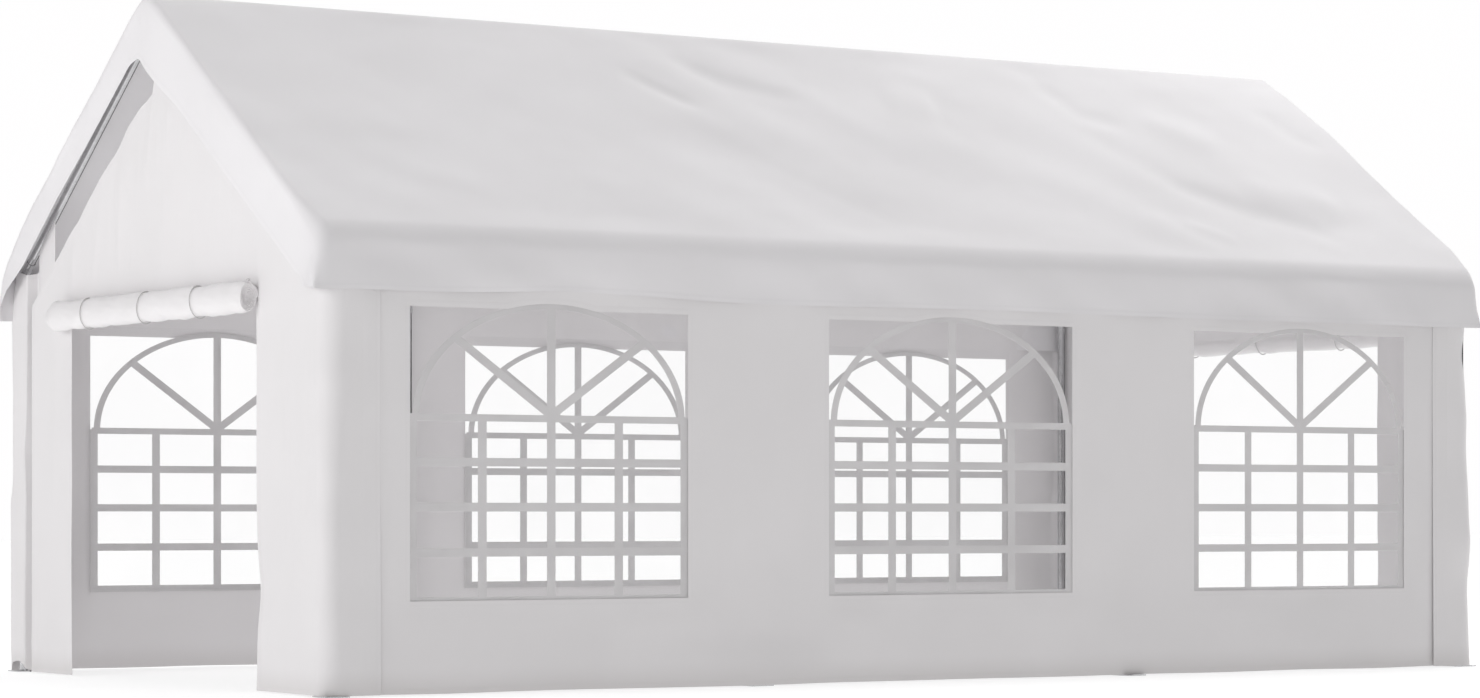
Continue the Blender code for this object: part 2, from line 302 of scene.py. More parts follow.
def sums(tree, operation, *values):
    """A Math node's output."""
    return add_node(tree, "ShaderNodeMath", dict(enumerate(values)), operation=operation)[0]


def ramp(tree, value, low, high, start=0.0, end=1.0):
    """A soft step from start to end as the value goes from low to high."""
    inputs = {"Value": value, "From Min": low, "From Max": high, "To Min": start, "To Max": end}
    return add_node(tree, "ShaderNodeMapRange", inputs, interpolation_type="SMOOTHSTEP")["Result"]


def blend_colour(tree, share, first, second):
    """One colour going over to another."""
    return add_node(tree, "ShaderNodeMix", {0: share, 6: first, 7: second}, data_type="RGBA")[2]


def parts_of(tree, vector):
    """A vector's three numbers."""
    return add_node(tree, "ShaderNodeSeparateXYZ", {0: vector})


def noise(tree, place, scale, detail, roughness=0.5):
    """Soft noise from 0 to 1."""
    inputs = {"Vector": place, "Scale": scale, "Detail": detail, "Roughness": roughness}
    return add_node(tree, "ShaderNodeTexNoise", inputs)[0]


def bumped(tree, height, strength, distance):
    """A surface's normal, bumped by a height."""
    inputs = {"Height": height, "Strength": strength, "Distance": distance}
    return add_node(tree, "ShaderNodeBump", inputs)[0]


def new_group(name, inputs, outputs):
    """An empty node group, what it takes and where it gives. An input without a value is a vector."""
    group = bpy.data.node_groups.new(name, "ShaderNodeTree")
    for label, value in inputs.items():
        kind = "NodeSocketVector" if value is None else "NodeSocketFloat"
        socket = group.interface.new_socket(label, in_out="INPUT", socket_type=kind)
        if value is not None:
            socket.default_value = value
    for label in outputs:
        group.interface.new_socket(label, in_out="OUTPUT", socket_type="NodeSocketFloat")
    return group, group.nodes.new("NodeGroupInput").outputs, group.nodes.new("NodeGroupOutput")


def weave_group():
    """The flat tapes of a coated woven sheet, over and under, as a height."""
    group, taken, given = new_group("tape_weave", {"Cloth": None, "Tape": 0.0024}, ["Height"])
    parts = parts_of(group, taken["Cloth"])
    turns = sums(group, "DIVIDE", math.pi, taken["Tape"])
    across = sums(group, "SINE", sums(group, "MULTIPLY", parts[0], turns))
    along = sums(group, "SINE", sums(group, "MULTIPLY", parts[1], turns))
    put(group, given, {"Height": sums(group, "MULTIPLY", across, along)})
    return group


def hem_group():
    """A turned hem with two rows of stitches, from the distance to the cloth's edge and along it."""
    group, taken, given = new_group(
        "sewn_hem", {"Edge": 1.0, "Run": 0.0, "Width": HEM_WIDTH}, ["Height", "Thread", "Fold"])
    inner = sums(group, "SUBTRACT", taken["Width"], taken["Edge"])
    fold = ramp(group, inner, -0.0012, 0.0012)
    rows = []
    for inset in (0.0035, 0.0075):
        off = sums(group, "ABSOLUTE", sums(group, "SUBTRACT", inner, inset))
        rows.append(ramp(group, off, 0.0004, 0.0011, 1.0, 0.0))
    beat = sums(group, "FRACT", sums(group, "DIVIDE", taken["Run"], 0.0056))
    dash = ramp(group, sums(group, "ABSOLUTE", sums(group, "SUBTRACT", beat, 0.5)), 0.28, 0.38, 1.0, 0.0)
    stitched = sums(group, "MAXIMUM", *rows)
    thread = sums(group, "MULTIPLY", stitched, dash)
    pucker = sums(group, "MULTIPLY", stitched, -0.5)
    height = sums(group, "ADD", sums(group, "ADD", fold, pucker), thread)
    put(group, given, {"Height": height, "Thread": thread, "Fold": fold})
    return group


def handling_group():
    """Broad clouding and small scuffs from storing and putting up."""
    group, taken, given = new_group("handling_marks", {"Place": None, "Size": 1.4}, ["Cloud", "Scuff"])
    place, size = taken["Place"], taken["Size"]
    broad = noise(group, place, size, 3.0)
    fine = noise(group, place, sums(group, "MULTIPLY", size, 14.0), 5.0, 0.65)
    put(group, given, {"Cloud": ramp(group, broad, 0.34, 0.66), "Scuff": ramp(group, fine, 0.56, 0.72)})
    return group


def shade_line_group():
    """Painted shade: a near-black line along a tube, on the side turned to the next frame, in place of the
    shadow line along the tube's edge.
    """
    group, taken, given = new_group("tube_painted_shade_line", {"Place": None, "Inward": 0.0}, ["Seam"])
    in_bay = sums(group, "WRAP", parts_of(group, taken["Place"])[1], 2 * FRAME_PLACE, 0.0)
    off = sums(group, "ABSOLUTE", sums(group, "SUBTRACT", in_bay, FRAME_PLACE + SHADE_LINE_OFF))
    line = ramp(group, off, 0.0028, 0.0036, 1.0, 0.0)
    inside = ramp(group, taken["Inward"], 0.0, 0.001)
    put(group, given, {"Seam": sums(group, "MULTIPLY", line, inside)})
    return group


WEAVE = weave_group()
SEWN_HEM = hem_group()
HANDLING = handling_group()
SHADE_LINE = shade_line_group()


def new_material(name):
    """A material with its tree, its Principled node and the object's own coordinates."""
    material = bpy.data.materials.new(name)
    material.use_nodes = True
    tree = material.node_tree
    return material, tree, tree.nodes["Principled BSDF"], add_node(tree, "ShaderNodeTexCoord")["Object"]


def use_group(tree, group, **inputs):
    """Places a shared group in a material."""
    return add_node(tree, "ShaderNodeGroup", inputs, node_tree=group)


def sheet_material(name, clean, shaded, rough, foot_darkening=0.0):
    """White coated woven sheet with sewn hems."""
    material, tree, surface, place = new_material(name)
    edge, run = (add_node(tree, "ShaderNodeAttribute", attribute_name=k)["Fac"] for k in ("edge", "run"))
    flat = add_node(tree, "ShaderNodeUVMap", uv_map="cloth")[0]
    weave = use_group(tree, WEAVE, Cloth=flat, Tape=0.0026)
    hem = use_group(tree, SEWN_HEM, Edge=edge, Run=run)
    marks = use_group(tree, HANDLING, Place=place, Size=1.3)
    tone = blend_colour(tree, sums(tree, "MULTIPLY", marks["Cloud"], 0.6), clean, shaded)
    # Darker towards the bottom: within 12 cm of the floor the tone goes over to a darker grey, by the share
    # the last argument gives
    low = ramp(tree, parts_of(tree, place)[2], 0.0, 0.12, foot_darkening, 0.0)
    tone = blend_colour(tree, low, tone, (clean[0] * 0.72, clean[1] * 0.70, clean[2] * 0.68, 1.0))
    tone = blend_colour(tree, sums(tree, "MULTIPLY", hem["Fold"], 0.04), tone, shaded)
    thread_tone = (clean[0] * 0.86, clean[1] * 0.86, clean[2] * 0.86, 1.0)
    tone = blend_colour(tree, sums(tree, "MULTIPLY", hem["Thread"], 0.35), tone, thread_tone)
    fine = sums(tree, "MULTIPLY", weave["Height"], 0.00012)
    sewn = sums(tree, "MULTIPLY", hem["Height"], 0.0002)
    put(tree, surface, {
        "Base Color": tone, "Roughness": sums(tree, "MULTIPLY_ADD", marks["Scuff"], 0.10, rough),
        "Specular IOR Level": 0.35, "Sheen Weight": 0.06,
        "Normal": bumped(tree, sums(tree, "ADD", fine, sewn), 1.0, 1.0)})
    return material


def film_material():
    """Clear soft window film with faint waves and haze."""
    material, tree, surface, place = new_material("clear_window_film")
    marks = use_group(tree, HANDLING, Place=place, Size=2.2)
    put(tree, surface, {
        "Base Color": (0.93, 0.94, 0.95, 1.0),
        "Alpha": ramp(tree, marks["Cloud"], 0.0, 1.0, 0.014, 0.028),
        "Roughness": ramp(tree, marks["Scuff"], 0.0, 1.0, 0.06, 0.20),
        "Normal": bumped(tree, noise(tree, place, 5.0, 2.0), 0.3, 0.01)})
    return material


def bar_material():
    """White strips welded on the film, with a fine pressed grain."""
    material, tree, surface, place = new_material("white_window_bars")
    marks = use_group(tree, HANDLING, Place=place, Size=3.0)
    tone = blend_colour(tree, marks["Cloud"], (0.615, 0.605, 0.61, 1.0), (0.58, 0.57, 0.575, 1.0))
    put(tree, surface, {
        "Base Color": tone, "Roughness": sums(tree, "MULTIPLY_ADD", marks["Scuff"], 0.12, 0.38),
        "Subsurface Weight": 0.9, "Subsurface Radius": (1.0, 1.0, 1.0), "Subsurface Scale": 0.004,
        "Normal": bumped(tree, noise(tree, place, 900.0, 2.0), 0.25, 0.0004)})
    return material


def steel_material(name, bright, dull, rough, shade_line_kind=None):
    """Galvanised steel: a bright skin with faint spangle and scuffs. The last argument is post, rafter or
    none: posts and rafters get a painted shade line, near-black, along their inner side.
    """
    material, tree, surface, place = new_material(name)
    marks = use_group(tree, HANDLING, Place=place, Size=6.0)
    spangle = add_node(tree, "ShaderNodeTexVoronoi", {"Vector": place, "Scale": 70.0, "Randomness": 1.0})
    flake = add_node(tree, "ShaderNodeSeparateColor", {0: spangle["Color"]})[0]
    clouded = sums(tree, "MULTIPLY", marks["Cloud"], 0.4)
    share = sums(tree, "ADD", sums(tree, "MULTIPLY", flake, 0.35), clouded)
    tone = blend_colour(tree, share, bright, dull)
    if shade_line_kind:
        parts = parts_of(tree, place)
        across = sums(tree, "ABSOLUTE", parts[0])
        inward = sums(tree, "SUBTRACT", POST_X, across)
        if shade_line_kind == "rafter":
            axis = sums(tree, "MULTIPLY_ADD", across, -RAFTER_SLOPE, RAFTER_TOP)
            inward = sums(tree, "SUBTRACT", axis, parts[2])
        # Painted shade: a near-black line along the inner side of posts and rafters
        painted_shade = use_group(tree, SHADE_LINE, Place=place, Inward=inward)["Seam"]
        tone = blend_colour(tree, painted_shade, tone, (0.025, 0.025, 0.027, 1.0))
    put(tree, surface, {
        "Base Color": tone, "Roughness": sums(tree, "MULTIPLY_ADD", marks["Scuff"], 0.15, rough),
        "Metallic": 1.0, "Normal": bumped(tree, noise(tree, place, 240.0, 2.0), 0.06, 0.001)})
    return material


def tie_material():
    """Twisted pale cord and its knob."""
    material, tree, surface, place = new_material("pale_tie_cord")
    twist = add_node(tree, "ShaderNodeTexWave", {"Vector": place, "Scale": 160.0, "Distortion": 0.6},
                     bands_direction="DIAGONAL")["Fac"]
    put(tree, surface, {
        "Base Color": blend_colour(tree, twist, (0.46, 0.45, 0.45, 1.0), (0.66, 0.65, 0.65, 1.0)),
        "Roughness": 0.7, "Normal": bumped(tree, twist, 0.5, 0.0006)})
    return material


ROOF_WHITE = (0.80, 0.785, 0.80, 1.0)
ROOF_SHADED = (0.77, 0.755, 0.768, 1.0)
WALL_WHITE = (0.80, 0.782, 0.79, 1.0)
WALL_SHADED = (0.765, 0.748, 0.755, 1.0)
STEEL_BRIGHT = (0.66, 0.66, 0.67, 1.0)
STEEL_DULL = (0.50, 0.50, 0.51, 1.0)
ROOF_SHEET = sheet_material("roof_sheet_white", ROOF_WHITE, ROOF_SHADED, 0.42)
WALL_SHEET = sheet_material("wall_sheet_white", WALL_WHITE, WALL_SHADED, 0.45, foot_darkening=0.35)
FILM = film_material()
BARS = bar_material()
TUBE = steel_material("galvanised_tube", STEEL_BRIGHT, STEEL_DULL, 0.16)
POST_TUBE = steel_material("galvanised_post", STEEL_BRIGHT, STEEL_DULL, 0.16, "post")
RAFTER_TUBE = steel_material("galvanised_rafter", STEEL_BRIGHT, STEEL_DULL, 0.16, "rafter")
JOINT = steel_material("galvanised_joint", (0.60, 0.60, 0.61, 1.0), (0.46, 0.46, 0.47, 1.0), 0.26)
TIE = tie_material()


# Pieces

def add_object(name, data):
    """A new object in the scene."""
    made = bpy.data.objects.new(name, data)
    bpy.context.scene.collection.objects.link(made)
    return made


def settle(piece, material, slot, *nodes):
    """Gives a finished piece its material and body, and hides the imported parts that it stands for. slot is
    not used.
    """
    piece.data.materials.clear()
    piece.data.materials.append(material)
    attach(piece, "root")
    if nodes:
        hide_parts(*nodes)


def cloth(name, points, flat, edge, run, keep=None, turn=False):
    """A thin sheet from a grid of points, thicker at its hems. flat is each point's place on the cut."""
    rows, columns = points.shape[:2]
    index = np.arange(rows * columns).reshape(rows, columns)
    cells = np.stack([index[:-1, :-1], index[:-1, 1:], index[1:, 1:], index[1:, :-1]], -1)
    cells = cells[np.ones(cells.shape[:2], bool) if keep is None else keep].reshape(-1, 4)
    if turn:
        cells = cells[:, ::-1]
    used, cells = np.unique(cells, return_inverse=True)
    cells = cells.reshape(-1, 4)
    mesh = bpy.data.meshes.new(name)
    mesh.from_pydata(points.reshape(-1, 3)[used].tolist(), [], cells.tolist())
    layer = mesh.uv_layers.new(name="cloth")
    corner = np.zeros(len(mesh.loops), np.int32)
    mesh.loops.foreach_get("vertex_index", corner)
    layer.data.foreach_set("uv", flat.reshape(-1, 2)[used][corner].astype(np.float32).ravel())
    edge = edge.ravel()[used]
    for label, values in (("edge", edge), ("run", run.ravel()[used])):
        mesh.attributes.new(label, "FLOAT", "POINT").data.foreach_set("value", values.astype(np.float32))
    piece = add_object(name, mesh)
    group = piece.vertex_groups.new(name="hem")
    group.add(np.flatnonzero(edge < HEM_WIDTH + 0.001).tolist(), 1.0, "REPLACE")
    wall = piece.modifiers.new("thickness", "SOLIDIFY")
    wall.thickness = HEMMED
    wall.offset = -1.0
    wall.vertex_group = "hem"
    wall.thickness_vertex_group = THIN / HEMMED
    bpy.context.view_layer.objects.active = piece
    piece.select_set(True)
    bpy.ops.object.modifier_apply(modifier=wall.name)
    bpy.ops.object.shade_smooth_by_angle(angle=math.radians(50))
    bpy.ops.object.select_all(action="DESELECT")
    return piece


def valance_wave(y):
    """How far the valance's lower edge stands above its straight line."""
    places = (-3.12, -2.9, -2.55, -2.3, -1.95, -1.5, -1.2, -0.8, -0.3, 0.3, 1.0, 1.6, 2.2, 2.8, 3.12)
    lifts = (0.0, 0.004, 0.002, 0.010, 0.026, 0.012, 0.0, -0.004,
             0.002, 0.006, 0.0, -0.003, 0.002, -0.004, 0.0)
    return softened(y, np.linspace(-3.2, 3.2, 400), places, lifts, 19)


def build_cover():
    """The roof cover: two slopes, a valance down each side and a flap down each gable, in one sheet."""
    eave_z = RIDGE_Z - SHEET_SLOPE * COVER_X
    outer, along = rounded_line(
        [(-COVER_X, VALANCE_Z), (-COVER_X, eave_z), (0.0, RIDGE_Z), (COVER_X, eave_z), (COVER_X, VALANCE_Z)],
        [EAVE_ROUND, RIDGE_ROUND, EAVE_ROUND], 8)
    half = along[-1] / 2
    along = along - half
    slope_length = COVER_X / math.cos(math.atan(SHEET_SLOPE))
    u_places = spread(-half, half, ROOF_GRID, [*along, half - HEM_WIDTH, HEM_WIDTH - half])
    flat_end = COVER_Y - CORNER_FOLD
    v_half = COVER_Y + FLAP - GABLE_FOLD * (2 - math.pi / 2)
    bends = [flat_end + 0.0095 * k for k in range(11)]
    v_marks = [*bends, v_half - HEM_WIDTH]
    v_places = spread(-v_half, v_half, ROOF_GRID, [*v_marks, *(-v for v in v_marks)])
    v, u = np.meshgrid(v_places, u_places, indexing="ij")
    top = at(u_places, along, outer)
    lower, low_along = rounded_line(FLAP_EDGE, FLAP_EDGE_ROUND, 4)
    low_along = (low_along / low_along[-1] * 2 - 1) * half
    foot = at(u_places, low_along, lower)
    down = np.abs(u)
    radius = GABLE_FOLD + (CORNER_FOLD - GABLE_FOLD) * smooth((down - slope_length + 0.30) / 0.32)
    beyond = np.abs(v) - (COVER_Y - radius)
    angle = np.clip(beyond / radius, 0.0, math.pi / 2)
    drop = radius * (1 - np.cos(angle)) + np.clip(beyond - radius * math.pi / 2, 0.0, None)
    y = np.sign(v) * (np.minimum(np.abs(v), COVER_Y - radius) + radius * np.sin(angle))

    ring = np.gradient(top, axis=0)
    up = np.stack([-ring[:, 1], ring[:, 0]], -1)
    up /= np.linalg.norm(up, axis=1, keepdims=True)
    on_slope = smooth((slope_length - 0.04 - down) / 0.20) * smooth(down / 0.15)
    lift = smooth((y - 1.2) / 1.8) * along_line(down, REAR_RISE, 0.15)
    lift += smooth((-y - 1.5) / 1.5) * along_line(down, FRONT_RISE, 0.12) * smooth((0.10 - u) / 0.10)
    span = np.sin((np.clip(y, -3, 3) + 3) / 2 * math.pi) ** 2
    lift -= 0.010 * span * on_slope
    place = top[None] + up[None] * lift[..., None]
    below = np.clip((eave_z - 0.02 - place[..., 1]) / (eave_z - VALANCE_Z), 0, 1)
    place[..., 1] += valance_wave(y) * below
    place[..., 0] -= np.sign(u) * 0.010 * below * smooth((2.75 - np.abs(y)) / 0.3)
    share = (drop / drop[-1])[..., None]
    flat_place = place + (foot[None] - place) * share
    lean = 0.020 + 0.042 * smooth((foot[:, 0] + 0.08) / 0.35)
    lean = lean * smooth((COVER_X - np.abs(foot[:, 0])) / 0.25)
    y = y - np.sign(v) * lean[None] * share[..., 0]
    points = np.stack([flat_place[..., 0], y, flat_place[..., 1]], -1)

    slack = 0.0075 * ripple(u, v, 5, 0.80) + 0.0015 * ripple(u, v, 6, 0.26)
    on_flap = smooth(drop / 0.05)
    folds = np.zeros_like(u)
    for places, high, wide, far in ROOF_FOLDS:
        folds += fold_line(u, v, places, high, wide, far)
        folds += fold_line(-u, 0.9 - v, places, high * 0.8, wide, far)
    hang = smooth((down - slope_length + 0.02) / 0.06) * (1 - on_flap)
    drape = 0.006 * ripple(v, u, 8, 0.55, 0.6) + 0.0012 * ripple(v, u, 9, 0.22, 0.8)
    calm = smooth((v_half - np.abs(v)) / 0.15)
    height = (slack + folds) * on_slope * (1 - on_flap) + (drape * hang)
    height += on_flap * (0.004 * ripple(u, v, 12, 0.5) + 0.002 * ripple(u, v, 13, 0.16))
    height = np.minimum(height, 0.030) * (0.3 + 0.7 * calm)
    points = points + grid_normals(points) * height[..., None]

    from_side, from_end = half - np.abs(u), v_half - np.abs(v)
    edge = np.minimum(from_side, from_end)
    run = np.where(from_side < from_end, v, u)
    piece = cloth("cover_sheet", points, np.stack([u, v], -1), edge, run)
    settle(piece, ROOF_SHEET, "roof_sheet", "roof_cover")


def arch_lift(y, low, high):
    """How far the arch over a window stands above the window's straight top."""
    out = np.clip(np.abs(y - (low + high) / 2) / ((high - low) / 2 - 0.025), 0.0, 1.0)
    return np.clip(ARCH_SPRING + ARCH_RISE * np.sqrt(1 - out ** 2) - WINDOW_TOP, 0.0, None)


def box_lines(left, right, bottom, top):
    """The four sides of a rectangle on the flat cloth."""
    return [((left, bottom), (right, bottom)), ((left, top), (right, top)),
            ((left, bottom), (left, top)), ((right, bottom), (right, top))]


def strip_places(z):
    """The outer and the inner edge of the left wall's corner strip at each height."""
    out = np.interp(z, (0.0, 0.45, 0.77, 0.86, 1.0, 1.25, 1.58, 1.70, 1.80),
                    (1.590, 1.600, 1.600, 1.574, 1.571, 1.568, 1.586, 1.566, 1.534))
    inner = np.interp(z, (0.0, 0.4, 0.8, 1.0, 1.2, 1.6, 1.8),
                      (1.415, 1.415, 1.404, 1.422, 1.397, 1.390, 1.387))
    return out, inner


def build_side_wall(side, label):
    """A side wall with three window openings. The left one turns round the corner posts and tucks in."""
    if side > 0:
        corners = [(WALL_X, -WALL_Y), (WALL_X, WALL_Y)]
        radii = []
    else:
        outside, face = WALL_X + 0.003, GABLE_Y
        ends = [(1.10, face - 0.012), (1.27, face - 0.014), (1.405, face - 0.050), (STRIP_X, face),
                (outside, face)]
        corners = [(x, -y) for x, y in ends] + [(x, y) for x, y in reversed(ends)]
        radii = [0.20, 0.010, 0.007, 0.030, 0.030, 0.007, 0.010, 0.20]
    plan, along = rounded_line(corners, radii)
    half = along[-1] / 2
    along = along - half
    windows = RIGHT_WINDOWS if side > 0 else LEFT_WINDOWS
    edges = [place for window in windows for place in window]
    tops = [(low + high) / 2 + k * 0.21 for low, high in windows for k in (-1, 1)]
    hem_ends = [e + k * HEM_WIDTH for e in edges for k in (-1, 1)]
    marks = [*edges, *tops, *hem_ends, *along, half - HEM_WIDTH, HEM_WIDTH - half]
    u_places = spread(-half, half, WALL_GRID, marks)
    hems = [HEM_Z + HEM_WIDTH, WALL_TOP - HEM_WIDTH, WINDOW_BOTTOM - HEM_WIDTH, WINDOW_TOP + HEM_WIDTH]
    v_places = spread(HEM_Z, WALL_TOP, WALL_GRID, [WINDOW_BOTTOM, WINDOW_TOP, *hems])
    v, u = np.meshgrid(v_places, u_places, indexing="ij")
    lines = box_lines(-half, half, HEM_Z, WALL_TOP)
    rise = np.zeros_like(u)
    keep = np.ones((len(v_places) - 1, len(u_places) - 1), bool)
    mid_u = (u_places[:-1] + u_places[1:]) / 2
    mid_v = (v_places[:-1] + v_places[1:]) / 2
    for left, right in windows:
        lines += box_lines(left, right, WINDOW_BOTTOM, WINDOW_TOP)
        rise += arch_lift(u, left, right)
        across = (mid_u > left) & (mid_u < right)
        keep &= ~(across[None] & ((mid_v > WINDOW_BOTTOM) & (mid_v < WINDOW_TOP))[:, None])
    edge, _, run, _ = nearest_line(u, v, lines)
    high = v + rise * smooth((WALL_TOP - v) / (WALL_TOP - WINDOW_TOP)) * (v > WINDOW_TOP - 0.001)
    place = at(u_places, along, plan)
    x, y = np.broadcast_to(place[:, 0], u.shape), np.broadcast_to(place[:, 1], u.shape)
    tucked = np.zeros_like(u)
    if side < 0:
        tucked = smooth((1.415 - x) / 0.01) * (np.abs(y) > 2.9)
        crown = np.interp(x, (1.10, 1.38, 1.415, 1.425, 1.52), (2.032, 1.828, 1.802, 1.800, WALL_TOP))
        crown = np.where(np.abs(y) > 2.9, crown, WALL_TOP)
        high = high - (WALL_TOP - crown) * smooth((v - 1.2) / (WALL_TOP - 1.2))
        out_to, inner = strip_places(high)
        turned = np.clip((x - STRIP_X) / (outside - STRIP_X), 0.0, 1.0)
        shift = (inner - STRIP_X) * (1 - turned) + (out_to - outside) * turned
        shift = shift * np.where(x < STRIP_X, smooth((x - 1.27) / 0.135), 1.0)
        x = x + shift * smooth((np.abs(y) - (GABLE_Y - 0.42)) / 0.38)
    x = x * (1.0 if side > 0 else -1.0)
    seed = 20 if side > 0 else 40
    free = smooth((edge - 0.01) / 0.10)
    tall = smooth(v / 0.4)
    billow = 0.5 + 0.5 * ripple(u, v, seed, 0.75, 1.6)
    fine = ripple(u, v, seed + 1, 0.26, 2.2)
    sway = ripple(u, v, seed + 2, 0.45, 6.0)
    out = 0.0010 + free * (0.0065 * billow + 0.0012 * fine)
    out = out + 0.0030 * smooth((0.5 - v) / 0.5) * (0.5 + 0.5 * sway)
    for start, end, tall_by, wide in WALL_CREASES:
        out = out + crease(u, v, start, end, tall_by, wide)
    limit = np.where((np.abs(u) > WRAP_Y - 0.02) & (side > 0), 0.0, 0.012)
    limit = np.where(tucked > 0, 0.002, limit)
    out = np.clip(out, 0.0, limit)
    if side > 0:
        over_foot = smooth((0.42 - np.abs(y + 1.0)) / 0.34)
        out = out + 0.030 * over_foot * smooth((0.24 - v) / 0.22)
    base = high + 0.004 * ripple(u, v, seed + 3, 0.9) * (1 - tall) * 0.6
    base = np.where(v <= HEM_Z + 0.05, np.maximum(base, 0.003), base)
    if side < 0:
        lifted = smooth((np.abs(u) - 3.025) / 0.03) * 0.046
        lifted -= smooth((np.abs(u) - 3.110) / 0.02) * 0.036
        base = base + lifted * (1 - smooth(v / 0.5))
    points = np.stack([x, y, base], -1)
    normal = grid_normals(points)
    facing = np.sign((normal[..., 0] * x + normal[..., 1] * y).mean())
    points = points + normal * facing * out[..., None]
    piece = cloth(f"{label}_wall_sheet", points, np.stack([u, v], -1), edge, run, keep, turn=side > 0)
    settle(piece, WALL_SHEET, "wall_sheet", f"{label}_side_wall")
    tall = WALL_TOP - HEM_Z


def corner_plan(z):
    """A gable's turn round its near corner post at one height, seen from above, and the way along it."""
    radius = float(np.interp(z, (0.2, 0.6, 1.05, 1.35), (0.070, 0.060, 0.080, 0.090)))
    end = GABLE_X - 0.0020 + 0.0050 * float(smooth((0.85 - z) / 0.5))
    bulge = 0.020
    corners = [(GABLE_BEND, GABLE_Y), (1.20, GABLE_Y), (GABLE_X + bulge, GABLE_Y + bulge),
               (GABLE_X + bulge / 2, 2.88), (end, WRAP_Y)]
    return rounded_line(corners, [1.2, radius, 0.05], 8)


def build_gable(end, label):
    """A gable wall: a panel each side of the doorway and a header over it, wrapped round one post."""
    doors = FRONT_DOOR if end < 0 else REAR_DOOR
    straight = 1.35
    along = corner_plan(straight)[1] + GABLE_BEND
    last = along[-1]
    hems = [doors[0] - HEM_WIDTH, doors[1] + HEM_WIDTH, PANEL_EDGE + HEM_WIDTH, last - HEM_WIDTH]
    u_places = spread(PANEL_EDGE, last, 0.020, [*doors, *hems, *along, -0.055, -0.038, 0.0])
    low_places = spread(HEM_Z, DOOR_TOP, GABLE_GRID, [HEM_Z + HEM_WIDTH])
    high_places = spread(0.0, 1.0, GABLE_GRID)[1:]
    top = along_line(u_places, GABLE_EDGE)
    high = DOOR_TOP + (top[None] - DOOR_TOP) * high_places[:, None]
    low = np.repeat(low_places[:, None], len(u_places), 1)
    z = np.concatenate([low, high])
    u = np.broadcast_to(u_places, z.shape).copy()
    x, y = u.copy(), np.full(z.shape, GABLE_Y)
    bent = u_places > GABLE_BEND
    for row in range(len(z)):
        line, gone = corner_plan(min(float(z[row, -1]), straight))
        place = at((u_places[bent] - GABLE_BEND) * gone[-1] / (last - GABLE_BEND), gone, line)
        x[row, bent], y[row, bent] = place[:, 0], place[:, 1]
    mid_u = (u_places[:-1] + u_places[1:]) / 2
    mid_z = (z[:-1, 0] + z[1:, 0]) / 2
    keep = ~(((mid_u > doors[0]) & (mid_u < doors[1]))[None] & (mid_z < DOOR_TOP)[:, None])
    lines = [((PANEL_EDGE, HEM_Z), (doors[0], HEM_Z)), ((doors[1], HEM_Z), (last, HEM_Z)),
             ((PANEL_EDGE, HEM_Z), (PANEL_EDGE, 1.66)), ((last, HEM_Z), (last, SHOULDER_Z)),
             ((doors[0], HEM_Z), (doors[0], DOOR_TOP)), ((doors[1], HEM_Z), (doors[1], DOOR_TOP)),
             (GABLE_EDGE[-1], (last, SHOULDER_Z)), *zip(GABLE_EDGE, GABLE_EDGE[1:])]
    edge, _, run, _ = nearest_line(u, z, lines)

    seed = 60 if end < 0 else 80
    header = smooth((z - SHOULDER_Z) / 0.25)
    folds = 0.0025 * ripple(u, z, seed, 0.30, 4.0) + 0.0016 * ripple(u, z, seed + 1, 0.11, 7.0) * header
    for start, foot, tall_by, wide, far in GABLE_CREASES:
        folds = folds + crease(u, z, start, foot, tall_by, wide, far)
    bag = 0.004 * ripple(z, u, seed + 4, 0.30, 3.0) * np.exp(-((u - 1.52) / 0.10) ** 2)
    slack = 0.003 * ripple(z, u, seed + 5, 0.42, 3.0) * smooth((u - 1.56) / 0.06) * smooth((last - u) / 0.06)
    hem_sway = smooth((0.35 - z) / 0.35) * 0.004 * ripple(u, z, seed + 6, 0.22, 3.0)
    out = np.clip(0.001 + folds + bag + slack + hem_sway, -0.001, 0.014)
    door_edge = sum(np.exp(-((u - door) / 0.05) ** 2) for door in reversed(doors))
    bulge = 0.004 * ripple(z, u, seed + 7, 0.5)
    if end < 0:
        bulge = bulge + 0.030 * np.exp(-((z - 0.40) / 0.13) ** 2) * (u > 0)
    x = x + door_edge * bulge * smooth(z / 0.2) * (z < DOOR_TOP + 0.05)
    if end > 0:
        x = x + along_line(z, REAR_CORNER, 0.12) * np.exp(-((u - 1.54) / 0.10) ** 2)
    points = np.stack([x, -y, z], -1)
    normal = grid_normals(points)
    points = points - normal * np.sign(normal[5, 5, 1]) * out[..., None]
    if end > 0:
        points = points * np.array([1.0, -1.0, 1.0])
    piece = cloth(f"{label}_gable_sheet", points, np.stack([u, z], -1), edge, run, keep, turn=end < 0)
    settle(piece, WALL_SHEET, "wall_sheet", f"{label}_gable_wall")
    wide, tall = last - PANEL_EDGE, float(top.max()) - HEM_Z


def gathers(x, angle, seed, waves=16):
    """Wrinkles that run round and along a roll and lie alike on every turn of it."""
    random = np.random.default_rng(seed)
    total = np.zeros_like(x)
    for _ in range(waves):
        stride = random.uniform(0.10, 0.55)
        round_it = random.integers(0, 4)
        swing = x * math.tau / stride * random.choice((-1, 1))
        total += np.sin(swing + round_it * angle + random.uniform(0, math.tau))
    return total / (1.6 * math.sqrt(waves))


def roll_middle(label):
    """How far along the tent the middle of a rolled door lies."""
    low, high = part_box(f"{label}_door_roll")
    return (low.y + high.y) / 2


